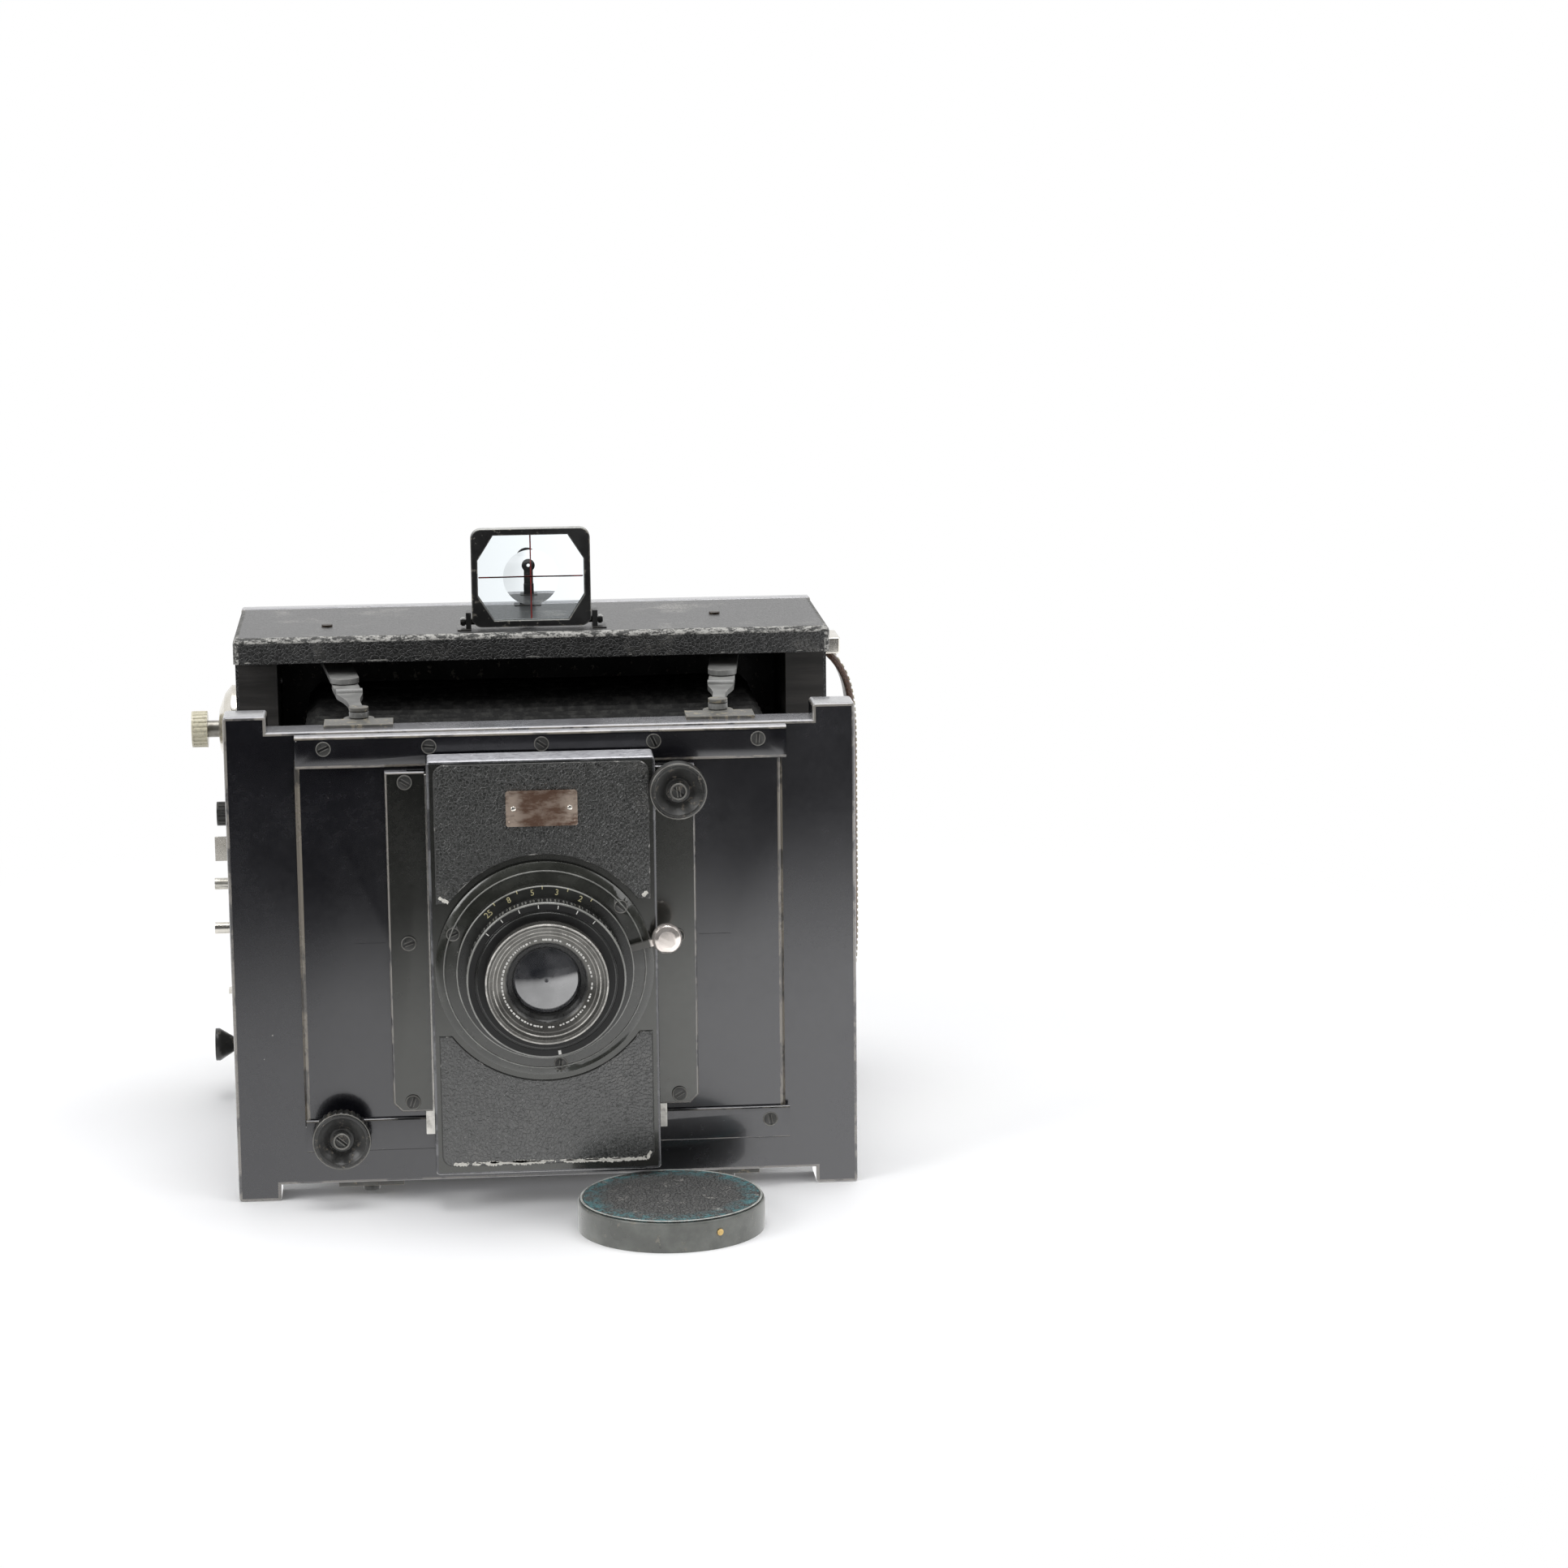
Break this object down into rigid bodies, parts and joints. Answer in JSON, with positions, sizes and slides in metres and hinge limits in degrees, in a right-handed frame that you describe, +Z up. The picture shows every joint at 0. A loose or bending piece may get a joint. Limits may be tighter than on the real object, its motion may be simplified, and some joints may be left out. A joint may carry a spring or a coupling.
{
  "type": "folding strut camera",
  "caption": "Folding strut plate camera: box body, pleated bellows, hinged side struts, front standard with shifting lens board, focusing lens, wire-cross finder and loose lens cap",
  "frame": {"origin": "centre of the body's base plate, on the table that the camera stands on", "axes": "+Z up, the lens looks along -Y, +X to the viewer's right when the lens is looked at"},
  "size_m": [0.1978, 0.1992, 0.1762],
  "materials": {
    "black_enamel": "gloss",
    "black_lacquer": "satin",
    "body_wood": "satin",
    "ebonised_wood": "gloss",
    "lens_black": "lacquered",
    "body_leather": "satin",
    "board_leather": "satin",
    "cap_leather": "satin",
    "strap_leather": "satin",
    "bellows_cloth": "matte",
    "curtain_cloth": "matte",
    "cap_felt": "matte",
    "strut_paint": "satin",
    "nickel": "worn",
    "worn_nickel_brass": "worn",
    "lacquered_brass": "satin",
    "screw_steel": "blackened",
    "roller_alloy": "satin",
    "optical_glass": "polished",
    "matt_glass": "ground",
    "ivory": "satin",
    "cap_paint": "satin"
  },
  "bodies": {
    "camera_body": {"casing": "body_wood", "leather_covering": "body_leather", "base_plate": "black_lacquer", "tripod_bush": "lacquered_brass", "bulkhead": "black_lacquer", "bellows": "bellows_cloth", "shutter_curtain": "curtain_cloth", "side_plate": "black_lacquer", "body_screws": "nickel", "finder_base": "black_lacquer", "handle_strap": "strap_leather", "strap_lugs": "nickel", "back_frame": "ebonised_wood", "ground_glass": "matt_glass", "strut_posts": "screw_steel"},
    "winding": {"winding_gear": "lacquered_brass", "winding_knob": "ivory", "winding_dial": "nickel"},
    "upper_roller_body": {"upper_roller": "roller_alloy"},
    "lower_roller_body": {"lower_roller": "roller_alloy"},
    "tension": {"tension_knob": "black_lacquer"},
    "pawl": {"pawl_lever": "nickel"},
    "release": {"release_button": "nickel"},
    "time_setting": {"time_lever": "nickel"},
    "cone": {"release_cone": "black_lacquer"},
    "finder": {"finder_frame": "black_lacquer", "finder_lens": "optical_glass"},
    "sight": {"rear_sight": "black_lacquer"},
    "door": {"hood_door": "ebonised_wood"},
    "left_rear_arms": {"rear_arms_left": "strut_paint"},
    "right_rear_arms": {"rear_arms_right": "strut_paint"},
    "left_front_links": {"front_links_left": "strut_paint"},
    "right_front_links": {"front_links_right": "strut_paint"},
    "front_standard": {"standard_plate": "ebonised_wood", "bellows_front_frame": "black_lacquer", "top_rail": "black_enamel", "bottom_rail": "black_enamel", "rail_screws": "screw_steel", "strut_brackets": "worn_nickel_brass"},
    "cross_knob": {"cross_clamp": "black_lacquer"},
    "cross_slide": {"cross_plate": "black_enamel", "guide_strips": "black_enamel", "guide_screws": "screw_steel"},
    "rise_knob": {"rise_clamp": "black_lacquer"},
    "rising_board": {"board_tongue": "nickel", "lens_board": "ebonised_wood", "board_leather": "board_leather", "name_plate": "worn_nickel_brass", "lens_flange": "lens_black", "flange_screws": "screw_steel"},
    "focus": {"focus_ring": "lens_black", "focus_lever": "nickel"},
    "lens": {"lens_barrel": "lens_black", "lens_rim": "lens_black", "lens_glass": "optical_glass"},
    "aperture": {"aperture_ring": "lens_black"},
    "cap": {"lens_cap": "cap_paint", "cap_rivet": "lacquered_brass", "cap_leather": "cap_leather", "cap_lining": "cap_felt"}
  },
  "joints": [
    {"name": "standard_slide", "type": "slide", "parent": "camera_body", "child": "front_standard", "axis": [0, 1, 0], "range_m": [0, 0.0685], "deforming": ["bellows"]},
    {"name": "left_rear_arm_turn", "type": "hinge", "parent": "camera_body", "child": "left_rear_arms", "pos_m": [-0.059, 0.006, 0], "axis": [0, 0, 1], "range_deg": [0, 90]},
    {"name": "right_rear_arm_turn", "type": "hinge", "parent": "camera_body", "child": "right_rear_arms", "pos_m": [0.059, 0.006, 0], "axis": [0, 0, 1], "range_deg": [-90, 0]},
    {"name": "left_front_link_turn", "type": "hinge", "parent": "front_standard", "child": "left_front_links", "pos_m": [-0.0495, -0.0911, 0], "axis": [0, 0, 1], "range_deg": [-65, 0]},
    {"name": "right_front_link_turn", "type": "hinge", "parent": "front_standard", "child": "right_front_links", "pos_m": [0.0495, -0.0911, 0], "axis": [0, 0, 1], "range_deg": [0, 65]},
    {"name": "cross_clamp_turn", "type": "hinge", "parent": "front_standard", "child": "cross_knob", "pos_m": [-0.057, -0.114, 0.0198], "axis": [0, -1, 0], "range_deg": [0, 180]},
    {"name": "cross_shift", "type": "slide", "parent": "front_standard", "child": "cross_slide", "axis": [1, 0, 0], "range_m": [-0.007, 0.007]},
    {"name": "rise_clamp_turn", "type": "hinge", "parent": "cross_slide", "child": "rise_knob", "pos_m": [0.03595, -0.12, 0.1168], "axis": [0, -1, 0], "range_deg": [0, 180]},
    {"name": "board_rise", "type": "slide", "parent": "cross_slide", "child": "rising_board", "axis": [0, 0, 1], "range_m": [0, 0.02]},
    {"name": "focus_turn", "type": "hinge", "parent": "rising_board", "child": "focus", "pos_m": [-0.0007, -0.128, 0.068], "axis": [0, 1, 0], "range_deg": [0, 81]},
    {"name": "lens_focus", "type": "slide", "parent": "rising_board", "child": "lens", "axis": [0, -1, 0], "range_m": [0, 0.004]},
    {"name": "aperture_turn", "type": "hinge", "parent": "lens", "child": "aperture", "pos_m": [-0.0007, -0.136, 0.068], "axis": [0, 1, 0], "range_deg": [0, 120]},
    {"name": "winding_turn", "type": "hinge", "parent": "camera_body", "child": "winding", "pos_m": [-0.09, 0.004, 0.1138], "axis": [1, 0, 0], "continuous": true},
    {"name": "upper_roller_turn", "type": "hinge", "parent": "camera_body", "child": "upper_roller_body", "pos_m": [0, 0.0172, 0.12648], "axis": [1, 0, 0], "continuous": true},
    {"name": "lower_roller_turn", "type": "hinge", "parent": "camera_body", "child": "lower_roller_body", "pos_m": [0, 0.0172, 0.00953], "axis": [1, 0, 0], "continuous": true},
    {"name": "tension_turn", "type": "hinge", "parent": "camera_body", "child": "tension", "pos_m": [-0.09, 0.004, 0.088], "axis": [1, 0, 0], "continuous": true},
    {"name": "pawl_swing", "type": "hinge", "parent": "camera_body", "child": "pawl", "pos_m": [-0.088, 0.008, 0.079], "axis": [1, 0, 0], "range_deg": [-15, 15]},
    {"name": "release_push", "type": "slide", "parent": "camera_body", "child": "release", "axis": [1, 0, 0], "range_m": [0, 0.002], "stiffness_N_per_m": 400, "springref_m": -0.0005},
    {"name": "time_setting_swing", "type": "hinge", "parent": "camera_body", "child": "time_setting", "pos_m": [-0.088, 0.004, 0.041], "axis": [1, 0, 0], "range_deg": [-25, 25]},
    {"name": "cone_push", "type": "slide", "parent": "camera_body", "child": "cone", "axis": [1, 0, 0], "range_m": [0, 0.002], "stiffness_N_per_m": 400, "springref_m": -0.0005},
    {"name": "finder_fold", "type": "hinge", "parent": "camera_body", "child": "finder", "pos_m": [0, -0.0279, 0.1491], "axis": [-1, 0, 0], "range_deg": [0, 90]},
    {"name": "sight_fold", "type": "hinge", "parent": "camera_body", "child": "sight", "pos_m": [0, 0.02, 0.1506], "axis": [0, 1, 0], "range_deg": [0, 90]},
    {"name": "door_open", "type": "hinge", "parent": "camera_body", "child": "door", "pos_m": [0, 0.0283, 0.02], "axis": [-1, 0, 0], "range_deg": [0, 95]},
    {"name": "cap_slide", "type": "slide", "parent": "camera_body", "child": "cap", "axis": [0, -1, 0], "range_m": [0, 0.04]}
  ],
  "couplings": [
    {"joint": "left_rear_arm_turn", "follows": "standard_slide", "rad_per_m": 21.605},
    {"joint": "right_rear_arm_turn", "follows": "standard_slide", "rad_per_m": -21.605},
    {"joint": "left_front_link_turn", "follows": "standard_slide", "rad_per_m": -15.089},
    {"joint": "right_front_link_turn", "follows": "standard_slide", "rad_per_m": 15.089},
    {"joint": "upper_roller_turn", "follows": "winding_turn", "ratio": -4.2},
    {"joint": "focus_turn", "follows": "lens_focus", "rad_per_m": 349.07}
  ]
}
